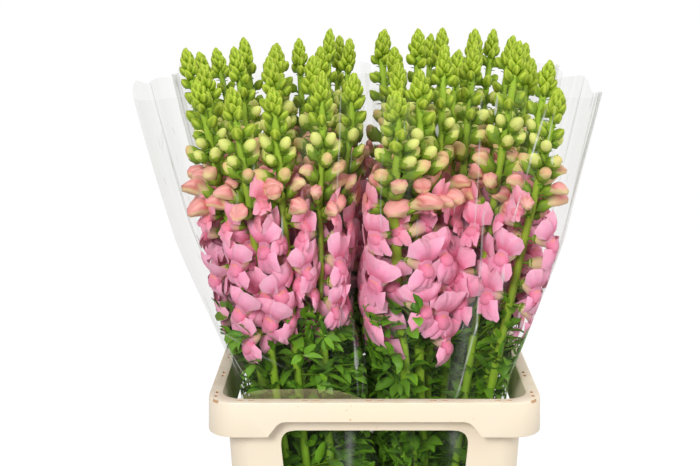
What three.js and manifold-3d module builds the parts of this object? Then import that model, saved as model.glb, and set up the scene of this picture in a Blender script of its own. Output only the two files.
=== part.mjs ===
// Forty cut snapdragons in four film sleeves, standing in a cream flower bucket with its collar.
// Millimetres, +Z up. The origin is the middle of the bucket's underside. -Y is the front, a short side.
// Ten stems make a bunch: they are bound by a rubber band low in the bucket and fan out above it.
import * as THREE from "three";
import { mergeVertices } from "three/addons/utils/BufferGeometryUtils.js";
import Module from "manifold-3d";

const wasm = await Module();
wasm.setup();

// ---------------------------------------------------------------- driving dimensions

const rimWidth = 298; // collar rim, left to right
const rimDepth = 390; // collar rim, front to back
const rimTop = 480; // height of the collar's rim
const bucketTop = 285; // height of the bucket's own rim
const wall = 2.5; // plastic wall
const joint = 0.4; // gap between two pieces that touch
const cornerSteps = 2; // flat faces in each rounded corner
const sliver = 0.05; // edges shorter than this are joined away
const floorTop = 4; // inside of the bucket's floor
const waterTop = 75;

const bunchX = 50; // middle of each bound bunch, from the bucket's middle
const bunchY = 78;
const stemPitch = 8.8; // between stems where they are bound
const bandTop = 120; // rubber band round each bound bunch
const tieHeight = 150; // the stems fan out above this height
const stemFoot = floorTop + joint;
const stemMiddle = 310; // one more ring in the stem, where it leans the most
const leafLow = 300; // leaves are parted between two stems by a plane through these heights
const leafHigh = 560;

const shortest = 755; // height of the shortest plants, which are furthest in flower
const tallest = 800;
const shortestBuds = 102; // tip down to the first open floret, on the shortest plants
const tallestBuds = 158; // and on the tallest
const headShare = 0.25; // share of that stretch that is the head of tight buds
const sides = 4; // a stem is nearly round: four faces stand for it here
const budLevels = 3; // pairs of buds below the head, each pair square to the one above
const floretSides = [[0], [1, 3], [2]]; // sides of the stem with a floret, level by level from below
const floretZone = 100; // height of the stretch with open florets
const leafDrops = [190, 115, 40]; // leaves, below that stretch
const goldenTurn = (137.5 * Math.PI) / 180;

const filmThickness = 0.8;
const filmGap = 0.6; // plants stay this far inside the film
const roomTop = 830; // above every tip

// Where each tip stands and how high it reaches: [x, y, height].
const bunches = {
  front_left: {
    side: [-1, -1],
    tips: [
      [-161, -170, 763], [-127, -195, 759], [-91, -190, 758], [-45, -185, 772], [-18, -150, 768],
      [-163, -110, 773], [-100, -110, 781], [-58, -120, 782], [-188, -50, 785], [-142, -22, 785],
    ],
  },
  front_right: {
    side: [1, -1],
    tips: [
      [24, -184, 755], [18, -112, 775], [42, -160, 772], [66, -122, 792], [100, -66, 791],
      [88, -22, 782], [135, -142, 797], [157, -66, 776], [166, -124, 778], [166, -180, 755],
    ],
  },
  back_left: {
    side: [-1, 1],
    tips: [
      [-186, 40, 776], [-137, 28, 792], [-104, 24, 784], [-80, 74, 789], [-54, 26, 783],
      [-46, 112, 798], [-38, 162, 788], [-18, 56, 790], [-177, 122, 776], [-110, 150, 780],
    ],
  },
  back_right: {
    side: [1, 1],
    tips: [
      [18, 98, 798], [27, 34, 782], [52, 62, 800], [80, 112, 799], [112, 58, 800],
      [137, 104, 798], [70, 172, 790], [150, 28, 794], [176, 122, 782], [126, 172, 789],
    ],
  },
};

// ---------------------------------------------------------------- small helpers

// The closed surface through rings of equal length. Ends are capped, or joined if the loft is a loop.
// A sprout may take the place of the facet between ring k and the next on side j: it gets the facet's corners,
// from the low left round to the high left as seen from outside, and gives back its own points and faces.
function loft(rings, { loop = false, sprouts = [] } = {}) {
  const count = rings[0].length;
  const points = rings.flat();
  const faces = [];
  const last = loop ? rings.length : rings.length - 1;
  for (let k = 0; k < last; k++) {
    const low = k * count;
    const high = ((k + 1) % rings.length) * count;
    for (let j = 0; j < count; j++) {
      const next = (j + 1) % count;
      const corners = [low + j, low + next, high + next, high + j];
      const sprout = sprouts.find((one) => one.ring === k && one.side === j);
      if (sprout) {
        const grown = sprout.grow(corners.map((index) => points[index]));
        const first = points.length;
        points.push(...grown.points);
        faces.push(...grown.faces.map((face) => face.map((i) => (i < 4 ? corners[i] : first + i - 4))));
      } else {
        faces.push([corners[0], corners[1], corners[3]], [corners[1], corners[2], corners[3]]);
      }
    }
  }
  if (!loop) {
    const top = (rings.length - 1) * count;
    for (let j = 1; j < count - 1; j++) {
      faces.push([0, j + 1, j], [top, top + j, top + j + 1]);
    }
  }
  return solid(points, faces);
}

// A manifold solid from points and triangles, turned the right way out.
function solid(points, faces) {
  const geometry = new THREE.BufferGeometry().setFromPoints(points);
  geometry.setIndex(faces.flat());
  return solidOf(geometry);
}

function solidOf(geometry) {
  const bare = geometry.index ? geometry : mergeVertices(geometry);
  const vertProperties = new Float32Array(bare.attributes.position.array);
  const triVerts = new Uint32Array(bare.index.array);
  const signedVolume = (order) => {
    let sum = 0;
    const corner = [new THREE.Vector3(), new THREE.Vector3(), new THREE.Vector3()];
    for (let i = 0; i < order.length; i += 3) {
      corner.forEach((v, k) => v.fromArray(vertProperties, 3 * order[i + k]));
      sum += corner[0].dot(corner[1].cross(corner[2]));
    }
    return sum;
  };
  if (signedVolume(triVerts) < 0) {
    for (let i = 0; i < triVerts.length; i += 3) {
      [triVerts[i + 1], triVerts[i + 2]] = [triVerts[i + 2], triVerts[i + 1]];
    }
  }
  return new wasm.Manifold(new wasm.Mesh({ numProp: 3, vertProperties, triVerts }));
}

// An extruded outline as a solid; the matrix places it.
function prism(shape, depth, matrix) {
  const geometry = new THREE.ExtrudeGeometry(shape, { depth, bevelEnabled: false, curveSegments: 2 });
  geometry.deleteAttribute("normal");
  geometry.deleteAttribute("uv");
  return solidOf(mergeVertices(geometry.applyMatrix4(matrix), 1e-4));
}

// The largest body of a solid, without slivers: loose scraps are dropped.
function largest(made) {
  const bodies = made.asOriginal().simplify(sliver).decompose();
  return welded(bodies.sort((a, b) => b.volume() - a.volume())[0]);
}

// The same solid with corners that are closer than a sliver joined into one.
function welded(made) {
  const { vertProperties, triVerts, numProp } = made.getMesh();
  const points = [];
  const joined = [];
  for (let i = 0; i < vertProperties.length; i += numProp) {
    const point = new THREE.Vector3().fromArray(vertProperties, i);
    const near = points.findIndex((other) => other.distanceTo(point) < sliver);
    joined.push(near < 0 ? points.push(point) - 1 : near);
  }
  const faces = [];
  for (let i = 0; i < triVerts.length; i += 3) {
    const [a, b, c] = [joined[triVerts[i]], joined[triVerts[i + 1]], joined[triVerts[i + 2]]];
    if (a !== b && b !== c && c !== a) faces.push([a, b, c]);
  }
  return solid(points, faces);
}

function meshOf(name, made, material) {
  const { vertProperties, triVerts, numProp } = made.getMesh();
  const geometry = new THREE.BufferGeometry();
  const positions = new Float32Array((vertProperties.length / numProp) * 3);
  for (let i = 0; i < positions.length / 3; i++) {
    positions.set(vertProperties.subarray(i * numProp, i * numProp + 3), i * 3);
  }
  geometry.setAttribute("position", new THREE.BufferAttribute(positions, 3));
  geometry.setIndex(new THREE.BufferAttribute(triVerts, 1));
  geometry.computeVertexNormals();
  const mesh = new THREE.Mesh(geometry, material);
  mesh.name = name;
  return mesh;
}

// ---------------------------------------------------------------- bucket and collar

// A rounded rectangle at height z: offset is how far it lies outside (or, if negative, inside) the rim's outline.
function outline(offset, z, radius) {
  const halfX = rimWidth / 2 + offset - radius;
  const halfY = rimDepth / 2 + offset - radius;
  const ring = [];
  for (let corner = 0; corner < 4; corner++) {
    const signX = corner === 0 || corner === 3 ? 1 : -1;
    const signY = corner < 2 ? 1 : -1;
    for (let step = 0; step <= cornerSteps; step++) {
      const angle = ((corner + step / cornerSteps) * Math.PI) / 2;
      ring.push(
        new THREE.Vector3(
          signX * halfX + radius * Math.cos(angle),
          signY * halfY + radius * Math.sin(angle),
          z,
        ),
      );
    }
  }
  return ring;
}

const bucketMouth = -23; // inside of the bucket's straight mouth
const bucketBase = -41; // outside of the wall at the floor

function bucket() {
  const rings = [
    outline(bucketBase - 2, 0, 18),
    outline(bucketBase, 3, 20),
    outline(bucketMouth + wall, bucketTop - 27, 22),
    outline(bucketMouth + wall, bucketTop - wall, 22),
    outline(-2 - wall, bucketTop - wall, 24),
    outline(-2 - wall, bucketTop - 22, 24),
    outline(-2, bucketTop - 22, 26),
    outline(-2, bucketTop, 26),
    outline(bucketMouth, bucketTop, 20),
    outline(bucketMouth, bucketTop - 27, 20),
    outline(bucketBase - wall, floorTop, 17),
  ];
  return loft(rings);
}

const wallFoot = -28; // outside of the collar's wall at its foot
const wallHead = -16.5; // and under its rim
const rimDrop = 31; // depth of the rim's skirt at the corners
const rimDropMiddle = 17; // and between them
const windowTop = 450;
const windowBottom = 322;
const windowCut = { from: 45, depth: 40 }; // how far inside the rim the cut starts, and its depth
const lipCut = { from: 8, depth: 12 };

function collar() {
  const rings = [
    outline(bucketMouth - joint, bucketTop - 21, 19),
    outline(bucketMouth - joint, bucketTop + joint, 19),
    outline(-4, bucketTop + joint, 24),
    outline(-4, bucketTop + 4, 24),
    outline(wallFoot, bucketTop + 4, 20),
    outline(wallHead, rimTop - 33, 22),
    outline(-11, rimTop - 4, 22),
    outline(-3, rimTop - 4, 24),
    outline(-3, rimTop - rimDrop, 24),
    outline(0, rimTop - rimDrop, 26),
    outline(0, rimTop - 1.5, 26),
    outline(-1.5, rimTop, 25),
    outline(-12, rimTop, 21),
    outline(wallHead - wall, rimTop - 33, 20),
    outline(wallFoot - wall, bucketTop + joint, 18),
    outline(bucketMouth - joint - wall, bucketTop + joint, 17),
    outline(bucketMouth - joint - wall, bucketTop - 21, 17),
  ];
  let made = loft(rings, { loop: true });
  for (let quarter = 0; quarter < 4; quarter++) {
    const [half, reach] = quarter % 2 ? [rimDepth / 2, rimWidth / 2] : [rimWidth / 2, rimDepth / 2];
    const windowTool = prism(windowShape(half), windowCut.depth, facing(quarter, reach - windowCut.from));
    const lipTool = prism(lipShape(half), lipCut.depth, facing(quarter, reach - lipCut.from));
    made = made.subtract(windowTool).subtract(lipTool);
  }
  return largest(made);
}

// Stands an outline upright at a distance from the middle, facing the front, right, back or left side.
function facing(quarter, distance) {
  return new THREE.Matrix4()
    .makeRotationZ((quarter * Math.PI) / 2)
    .multiply(new THREE.Matrix4().makeTranslation(0, -distance, 0))
    .multiply(new THREE.Matrix4().makeRotationX(Math.PI / 2));
}

// The window: a rounded trapezium, narrower at its foot, between posts of one width.
function windowShape(half) {
  const head = half - 64;
  const foot = head - 13;
  const round = 14;
  const shape = new THREE.Shape();
  shape.moveTo(-foot + round, windowBottom);
  shape.lineTo(foot - round, windowBottom);
  shape.quadraticCurveTo(foot, windowBottom, foot + 1, windowBottom + round);
  shape.lineTo(head - 1, windowTop - round);
  shape.quadraticCurveTo(head, windowTop, head - round, windowTop);
  shape.lineTo(-head + round, windowTop);
  shape.quadraticCurveTo(-head, windowTop, -head + 1, windowTop - round);
  shape.lineTo(-foot - 1, windowBottom + round);
  shape.quadraticCurveTo(-foot, windowBottom, -foot + round, windowBottom);
  return shape;
}

// The stretch between two corners where the rim's skirt is shallower.
function lipShape(half) {
  const wide = half - 54;
  const narrow = half - 65;
  const shape = new THREE.Shape();
  shape.moveTo(-wide, rimTop - rimDrop - 1);
  shape.lineTo(wide, rimTop - rimDrop - 1);
  shape.lineTo(narrow, rimTop - rimDropMiddle);
  shape.lineTo(-narrow, rimTop - rimDropMiddle);
  return shape;
}

// ---------------------------------------------------------------- water and bands

const bunchSteps = 8;

// The ellipse that clears a bound bunch, with a margin.
function bunchRing(side, margin, z) {
  const [acrossX, acrossY] = [18.4 + margin, 14.2 + margin];
  return Array.from({ length: bunchSteps }, (_, j) => {
    const angle = (2 * Math.PI * j) / bunchSteps;
    return new THREE.Vector3(
      side[0] * bunchX + acrossX * Math.cos(angle),
      side[1] * bunchY + acrossY * Math.sin(angle),
      z,
    );
  });
}

function water() {
  const slope = (bucketBase - bucketMouth - wall) / (bucketTop - 27 - floorTop);
  const low = bucketBase - wall - joint;
  const high = low - slope * (waterTop - floorTop);
  let made = loft([outline(low, floorTop + joint, 17), outline(high, waterTop, 18)]);
  for (const { side } of Object.values(bunches)) {
    const hole = loft([bunchRing(side, 0.8, 0), bunchRing(side, 0.8, waterTop + 5)]);
    made = made.subtract(hole);
  }
  return made;
}

function band(side) {
  const low = bandTop - 6;
  const high = bandTop;
  return loft(
    [
      bunchRing(side, 2.4, low),
      bunchRing(side, 2.4, high),
      bunchRing(side, 0.6, high),
      bunchRing(side, 0.6, low),
    ],
    { loop: true },
  );
}

// ---------------------------------------------------------------- sleeves

// The film's outer face: how far it reaches outwards and where its inner side lies, at rising heights.
const sleeveLevels = [
  { z: 150, outX: 78, outY: 106, inX: 22, inY: 50, corner: 12 },
  { z: 300, outX: 98, outY: 138, inX: 6, inY: 16, corner: 20 },
  { z: 485, outX: 128.5, outY: 172, inX: 1.5, inY: 2.5, corner: 24 },
  { z: 610, outX: 174, outY: 200, inX: 1.5, inY: 1.5, corner: 40 },
  { z: 760, outX: 210, outY: 222, inX: 1.5, inY: 1.5, corner: 34 },
];

// One level as a ring of eight points: a rectangle with its corners cut off, shrunk by a margin.
function sleeveRing(side, level, margin) {
  const { z, outX, outY, inX, inY, corner } = level;
  const halfX = (outX - inX) / 2 - margin;
  const halfY = (outY - inY) / 2 - margin;
  const middle = [(side[0] * (outX + inX)) / 2, (side[1] * (outY + inY)) / 2];
  const cut = corner - 0.6 * margin;
  return [
    [1, 1, 0, cut], [1, 1, cut, 0], [-1, 1, cut, 0], [-1, 1, 0, cut],
    [-1, -1, 0, cut], [-1, -1, cut, 0], [1, -1, cut, 0], [1, -1, 0, cut],
  ].map(([sx, sy, cutX, cutY]) => new THREE.Vector3(
    middle[0] + sx * (halfX - cutX),
    middle[1] + sy * (halfY - cutY),
    z,
  ));
}

function sleeve(side) {
  const outer = sleeveLevels.map((level) => sleeveRing(side, level, 0));
  const inner = sleeveLevels.map((level) => sleeveRing(side, level, filmThickness)).reverse();
  return loft([...outer, ...inner], { loop: true });
}

// The room that the plants of a bunch may fill.
function sleeveRoom(side) {
  const foot = { ...sleeveLevels[0], z: tieHeight - 1 };
  const head = { ...sleeveLevels.at(-1), z: roomTop };
  const levels = [foot, ...sleeveLevels.slice(1), head];
  return loft(levels.map((level) => sleeveRing(side, level, filmThickness + filmGap)));
}

// ---------------------------------------------------------------- one plant

// Ten stems stand in rows of three, four and three; the tips are sorted to match, so no stems cross.
function plantsOf(bunch, firstNumber) {
  const sorted = [...bunch.tips].sort((a, b) => a[1] - b[1]);
  const plants = [];
  let taken = 0;
  [3, 4, 3].forEach((rowLength, row) => {
    const rowTips = sorted.slice(taken, taken + rowLength).sort((a, b) => a[0] - b[0]);
    taken += rowLength;
    rowTips.forEach((tip, column) => {
      const number = firstNumber + plants.length;
      const floretTop = tip[2] - budZone(tip[2]);
      plants.push({
        foot: [
          bunch.side[0] * bunchX + (column - (rowLength - 1) / 2) * stemPitch,
          bunch.side[1] * bunchY + (row - 1) * stemPitch * Math.sin(Math.PI / 3),
        ],
        tip,
        number,
        turn: number * goldenTurn,
        headBase: tip[2] - headShare * (tip[2] - floretTop),
        floretTop,
      });
    });
  });
  return plants;
}

// How far below the tip the first floret is open: the taller plants still have more in bud.
function budZone(height) {
  return shortestBuds + ((tallestBuds - shortestBuds) * (height - shortest)) / (tallest - shortest);
}

// The middle of the stem at height z: upright where it is bound, then straight out to its tip.
function axisAt(plant, z) {
  const [tipX, tipY, height] = plant.tip;
  const share = Math.max((z - tieHeight) / (height - tieHeight), 0) ** 1.2;
  return new THREE.Vector3(
    plant.foot[0] + (tipX - plant.foot[0]) * share,
    plant.foot[1] + (tipY - plant.foot[1]) * share,
    z,
  );
}

function stemRadius(plant, z) {
  const below = plant.tip[2] - z;
  return 2.6 + 1.3 * Math.min(below / 300, 1);
}

// A ring of four points round the stem's middle, turned by part of a quarter turn.
function stemRing(plant, z, radius, turn) {
  const middle = axisAt(plant, z);
  return Array.from({ length: sides }, (_, j) => {
    const angle = turn + (2 * Math.PI * j) / sides;
    return new THREE.Vector3(middle.x + radius * Math.cos(angle), middle.y + radius * Math.sin(angle), z);
  });
}

// Right, up and outward directions of something that leaves the stem at an angle and rises.
function framing(angle, rise) {
  const flat = new THREE.Vector3(Math.cos(angle), Math.sin(angle), 0);
  const right = new THREE.Vector3(-Math.sin(angle), Math.cos(angle), 0);
  const along = flat.multiplyScalar(Math.cos(rise)).setZ(Math.sin(rise));
  return { right, up: along.clone().cross(right), along };
}

// The same for a facet: the middle of its four corners, and the directions seen from there.
function facetFrame(corners, rise) {
  const base = corners.reduce((sum, corner) => sum.add(corner), new THREE.Vector3()).divideScalar(4);
  const across = corners[1].clone().sub(corners[0]);
  const { right, up, along } = framing(Math.atan2(-across.x, across.y), rise);
  return (r, u, a) =>
    base.clone().addScaledVector(right, r).addScaledVector(up, u).addScaledVector(along, a);
}

// Head of tight buds: rings wide and narrow by turns, each turned half a step against the last.
// Each is given by its share of the head's height, below the tip, and its radius.
const headRings = [
  [0.8, 8.6], [0.66, 5.8], [0.5, 9.0], [0.35, 5.6], [0.18, 6.6], [0, 0.8],
];

// A bud's walls from its facet's corners, 0 to 3, to its widest corners, 4 to 7, and from those to its tip.
const budFaces = [
  [0, 1, 5], [0, 5, 4], [1, 2, 6], [1, 6, 5], [2, 3, 7], [2, 7, 6], [3, 0, 7], [0, 4, 7],
  [4, 5, 8], [5, 6, 8], [6, 7, 8], [7, 4, 8],
];

// A bud grown from a facet: four walls swell to its middle and close at its tip.
function bud(corners, length) {
  const at = facetFrame(corners, 0.8);
  const points = [
    at(-0.24 * length, -4, 0.5 * length), at(0.24 * length, -4, 0.5 * length),
    at(0.24 * length, 4, 0.5 * length), at(-0.24 * length, 4, 0.5 * length),
    at(0, 0, length),
  ];
  return { points, faces: budFaces };
}

// The stem with its buds and head. With a margin it is the room that other pieces leave for it.
function stalk(plant, margin = 0) {
  const height = plant.tip[2];
  const heights = [stemFoot, tieHeight, stemMiddle, rimTop];
  const firstBud = heights.length;
  const budStep = (plant.headBase - plant.floretTop) / budLevels;
  for (let k = 0; k <= budLevels; k++) {
    heights.push(plant.floretTop + 6 + (budStep - 2) * k);
  }
  const rings = heights.map((z) => stemRing(plant, z, stemRadius(plant, z) + margin, plant.turn));
  headRings.forEach(([share, radius], k) => {
    const turn = plant.turn + ((k + 1) * Math.PI) / sides;
    rings.push(stemRing(plant, height - share * (height - plant.headBase), radius + margin, turn));
  });
  const sprouts = [];
  for (let k = 0; k < budLevels; k++) {
    const length = 22 - 3 * k + 2 * margin;
    for (const side of [k % 2, (k % 2) + 2]) {
      sprouts.push({ ring: firstBud + k, side, grow: (corners) => bud(corners, length) });
    }
  }
  return loft(rings, { sprouts });
}

// A leaf of six faces: its stalk and tip, its two edges and its raised back.
function leaf(plant, k, margin = 0) {
  const { right, up, along } = framing(plant.turn + k * goldenTurn, 0.8);
  const base = axisAt(plant, plant.floretTop - floretZone - leafDrops[k]);
  const at = (r, u, a) =>
    base.clone().addScaledVector(right, r).addScaledVector(up, u).addScaledVector(along, a);
  const edge = 7.5 + margin;
  const points = [
    at(0, 0, 0), at(0, -4, 46 + margin),
    at(-edge, 4 - margin, 24), at(edge, 4 - margin, 24), at(0, 6 + margin, 24),
  ];
  return solid(points, [[0, 4, 2], [0, 3, 4], [0, 2, 3], [1, 2, 4], [1, 4, 3], [1, 3, 2]]);
}

function leavesOf(plant, margin) {
  return leafDrops.map((_, k) => leaf(plant, k, margin));
}

// A plane halfway between two stems, through their middles at the foot and the top of the leaves.
function dividingPlane(plant, other) {
  const middleLow = axisAt(plant, leafLow).lerp(axisAt(other, leafLow), 0.5);
  const middleHigh = axisAt(plant, leafHigh).lerp(axisAt(other, leafHigh), 0.5);
  const apart = axisAt(plant, leafHigh).sub(axisAt(other, leafHigh)).normalize();
  const alongPlane = middleHigh.clone().sub(middleLow).normalize();
  const normal = apart.addScaledVector(alongPlane, -apart.dot(alongPlane)).normalize();
  return { normal, offset: normal.dot(middleLow) };
}

// Stem, head, buds and leaves, as one solid. Leaves keep to their own side of the stems around them.
function greenery(plant, others, room) {
  let foliage = wasm.Manifold.union(leavesOf(plant));
  for (const other of others) {
    if (other === plant) continue;
    const { normal, offset } = dividingPlane(plant, other);
    foliage = foliage.trimByPlane([normal.x, normal.y, normal.z], offset + joint / 2);
  }
  return largest(stalk(plant).add(foliage.intersect(room)));
}

// A two-lipped floret grown from a facet: tube, two upper lobes, three lower ones, throat and palate.
function floret(corners, size) {
  const from = facetFrame(corners, 0.25);
  const at = (r, u, a) => from(r * size, u * size, a * size);
  const points = [
    at(0, -19, 18), at(14, -12, 19), at(14, 20, 16), // lip, from its lowest point round
    at(0, 12, 20), at(-14, 20, 16), at(-14, -12, 19),
    at(0, -4, 26), // palate
  ];
  const faces = [
    [0, 1, 4], [1, 5, 4], [1, 2, 6], [1, 6, 5], [2, 7, 6], [2, 3, 7],
    [3, 8, 7], [3, 0, 8], [0, 9, 8], [0, 4, 9],
    [4, 5, 10], [5, 6, 10], [6, 7, 10], [7, 8, 10], [8, 9, 10], [9, 4, 10],
  ];
  return { points, faces };
}

// One plant's open florets, on a core close round the stem.
function spike(plant) {
  const rings = [];
  for (let k = 0; k <= floretSides.length; k++) {
    const z = plant.floretTop - floretZone + (floretZone * k) / floretSides.length;
    rings.push(stemRing(plant, z, 7, plant.turn + 0.6));
  }
  const sprouts = [];
  floretSides.forEach((level, k) => {
    for (const side of level) {
      sprouts.push({ ring: k, side, grow: (corners) => floret(corners, 1 - 0.08 * k) });
    }
  });
  return loft(rings, { sprouts });
}

// All florets of a bunch: they press on each other and hold together, with holes where the stems pass.
function blossom(plants, room) {
  const greens = plants.flatMap((plant) => [stalk(plant, joint), ...leavesOf(plant, 2 * joint)]);
  return largest(wasm.Manifold.union(plants.map(spike)).intersect(room).subtract(wasm.Manifold.union(greens)));
}

// ---------------------------------------------------------------- the whole object

const finish = (color, roughness, opacity = 1) =>
  new THREE.MeshStandardMaterial({ color, roughness, opacity, transparent: opacity < 1, metalness: 0 });

const materials = {
  plastic: finish(0xf6e8cf, 0.5),
  water: finish(0xd5e2de, 0.05, 0.4),
  rubber: finish(0xb98a4e, 0.7),
  film: finish(0xf2f6f7, 0.08, 0.2),
  green: finish(0x6f9a2c, 0.6),
  petal: finish(0xee8fb4, 0.55),
};

const group = new THREE.Group();
group.add(meshOf("bucket", bucket(), materials.plastic));
group.add(meshOf("collar", collar(), materials.plastic));
group.add(meshOf("water", water(), materials.water));

let nextNumber = 1;
for (const [place, bunch] of Object.entries(bunches)) {
  const plants = plantsOf(bunch, nextNumber);
  nextNumber += plants.length;
  const room = sleeveRoom(bunch.side);
  group.add(meshOf(`band_${place}`, band(bunch.side), materials.rubber));
  group.add(meshOf(`sleeve_${place}`, sleeve(bunch.side), materials.film));
  group.add(meshOf(`florets_${place}`, blossom(plants, room), materials.petal));
  for (const plant of plants) {
    const name = `snapdragon_${String(plant.number).padStart(2, "0")}`;
    group.add(meshOf(name, greenery(plant, plants, room), materials.green));
  }
}

export default group;
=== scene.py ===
import math

import bpy
import numpy as np
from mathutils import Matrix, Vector


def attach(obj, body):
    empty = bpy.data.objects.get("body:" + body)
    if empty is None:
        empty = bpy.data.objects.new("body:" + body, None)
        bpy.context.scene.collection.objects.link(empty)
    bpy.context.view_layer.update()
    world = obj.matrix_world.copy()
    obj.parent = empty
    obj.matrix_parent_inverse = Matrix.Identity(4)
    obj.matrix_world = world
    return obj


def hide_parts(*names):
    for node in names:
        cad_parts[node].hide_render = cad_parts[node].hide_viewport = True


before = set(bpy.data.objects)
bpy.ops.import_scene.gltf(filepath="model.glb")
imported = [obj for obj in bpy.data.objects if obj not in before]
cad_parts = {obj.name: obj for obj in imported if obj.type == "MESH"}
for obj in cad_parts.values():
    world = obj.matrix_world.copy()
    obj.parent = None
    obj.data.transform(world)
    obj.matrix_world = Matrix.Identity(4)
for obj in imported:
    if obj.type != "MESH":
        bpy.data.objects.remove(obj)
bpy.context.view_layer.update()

# Millimetres everywhere below, until a mesh is made. -Y is the front.
RIM_WIDTH, RIM_DEPTH, RIM_TOP = 298, 390, 480
JOINT = 0.4  # the gap between the collar's foot and the bucket
BUNCH_X, BUNCH_Y = 50, 78  # where a bunch is bound, from the container's middle
TIE_HEIGHT = 150  # the stems spread above it
SHORTEST, TALLEST = 755, 800  # plants, from the floor to the tip
SHORTEST_BUDS, TALLEST_BUDS = 102, 158  # from the tip of such a plant down to its first open floret
FLORET_ZONE = 100  # the stretch of open florets below that
LOWEST_LEAF = 296  # inside the collar
GOLDEN_TURN = math.radians(137.5)
BUNCHES = {"front_left": (-1, -1), "front_right": (1, -1), "back_left": (-1, 1), "back_right": (1, 1)}
PLANTS_IN_BUNCH = 10

SLEEVE = np.array([  # height, outer reach in X and Y, inner reach in X and Y
    (150, 78, 106, 22, 50), (290, 97, 136, 2, 4), (485, 128.5, 172, 1, 1.5), (610, 174, 200, 1.5, 1.5),
    (760, 210, 222, 1.5, 1.5),
], float)
ROUNDNESS = 4.5  # a sleeve from above: |u|^4.5 + |v|^4.5 = 1

GLINTS = (  # painted highlights along thin folds on the front of the film: top, foot, width, strength
    ((151.9, 761), (123.3, 651), 1.5, 0.9), ((158, 761), (151, 719), 1.2, 0.6), ((92, 758), (88, 644), 1.1, 0.6),
    ((-29.5, 752), (-33, 661), 1.0, 0.5), ((8.7, 756), (5, 618), 1.0, 0.5), ((-143, 540), (-104, 518), 3.0, 0.4),
    ((-152, 566), (-128, 505), 1.8, 0.6), ((-147, 548), (-120, 500), 1.2, 0.6), ((95.7, 650), (91, 545), 1.4, 0.6),
    ((91, 545), (76, 484), 1.4, 0.6), ((94, 600), (70, 480), 9.0, 0.22), ((-20, 545), (-15, 486), 1.2, 0.4),
    ((-6, 565), (-10, 486), 1.2, 0.4), ((-22, 452), (-24, 330), 6.0, 0.3), ((74, 452), (66, 330), 8.0, 0.3),
)

# ---------------------------------------------------------------- colours

def display(red, green, blue):
    """A linear colour from the three 0-255 values it has on a display."""
    c = np.array([red, green, blue], float) / 255
    return np.where(c <= 0.04045, c / 12.92, ((c + 0.055) / 1.055) ** 2.4)


CREAM = display(238, 224, 202)
CREAM_WARM = display(244, 226, 196)
CREAM_TOP_PAINTED_LIGHT = display(254, 242, 220)
CREAM_SCUFFED = display(228, 204, 166)
TAN_SPECK = display(206, 160, 110)
POCKET_TAN = display(186, 134, 82)
STEM_TOP = display(160, 192, 58)
STEM_LOW = display(134, 178, 38)
STEM_BROWN = display(140, 128, 50)
BUD_LIGHT = display(172, 197, 40)
BUD_DARK = display(56, 100, 2)
BUD_RIDGE_HIGHLIGHT = display(200, 215, 86)
BUD_POINT = display(150, 122, 66)
SEPAL_LIGHT = display(158, 186, 54)
SEPAL_DARK = display(86, 122, 18)
BALL_YELLOW = display(225, 229, 130)
BALL_GREEN = display(160, 186, 62)
TUBE_PEACH = display(232, 212, 156)
SALMON = display(235, 142, 142)
SALMON_DEEP = display(198, 88, 92)
SALMON_HIGHLIGHT = display(249, 190, 178)
LEAF_DARK = display(38, 88, 8)
LEAF_LIGHT = display(126, 182, 34)
LEAF_BACK = display(104, 144, 56)
PINK = display(253, 155, 193)
PINK_PALE_AND_HIGHLIGHT = display(255, 190, 213)
PINK_THROAT_SHADE = display(218, 84, 122)
PINK_BACK = display(232, 150, 184)
PALATE = display(248, 152, 184)
PALATE_SHADE = display(222, 96, 138)
SPOT_YELLOW = display(252, 200, 104)
FILM_GREY = display(150, 151, 150)
FILM_YELLOWED = display(206, 192, 150)
FILM_GLINT = display(250, 250, 250)
RUBBER_DARK = display(176, 126, 70)
RUBBER_LIGHT = display(204, 160, 104)


def between(low, high, share):
    """Numbers from low to high by a share from 0 to 1."""
    return low + (high - low) * share


def mixed(low, high, share):
    """Colours from low to high by a share from 0 to 1 at each point."""
    return low + (high - low) * np.asarray(share, float)[..., None]


def smooth(x):
    """0 below 0, 1 above 1, and an S between."""
    x = np.clip(x, 0, 1)
    return x * x * (3 - 2 * x)


def sleeve_at(z, *columns):
    """Columns of the sleeves' table, read at heights z."""
    return [np.interp(z, SLEEVE[:, 0], SLEEVE[:, k]) for k in columns]


# ---------------------------------------------------------------- materials

class Signal:
    """A socket of a finish. Arithmetic on it adds Math nodes."""

    def __init__(self, finish, socket):
        self.finish, self.socket = finish, socket

    def math(self, operation, *terms):
        """The outcome of a Math node on the terms."""
        return self.finish.node("ShaderNodeMath", {"operation": operation}, dict(enumerate(terms)))[0]

    def __add__(self, other):
        return self.math("ADD", self, other)

    def __sub__(self, other):
        return self.math("SUBTRACT", self, other)

    def __rsub__(self, other):
        return self.math("SUBTRACT", other, self)

    def __mul__(self, other):
        return self.math("MULTIPLY", self, other)

    def clipped(self):
        """The signal held between 0 and 1."""
        return self.finish.node("ShaderNodeClamp", {}, {0: self})[0]

    def size(self):
        """The signal without its sign."""
        return self.math("ABSOLUTE", self)

    def above(self, low, high):
        """0 where the signal is below low, 1 above high."""
        values = {"Value": self, "From Min": low, "From Max": high}
        return self.finish.node("ShaderNodeMapRange", {"clamp": True}, values)[0]

    def band(self, low, full, ebb, high):
        """1 from full to ebb, and down to 0 at low and at high, all in millimetres."""
        return self.above(low / 1000, full / 1000) * (1 - self.above(ebb / 1000, high / 1000))

    __radd__, __rmul__ = __add__, __mul__


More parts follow.
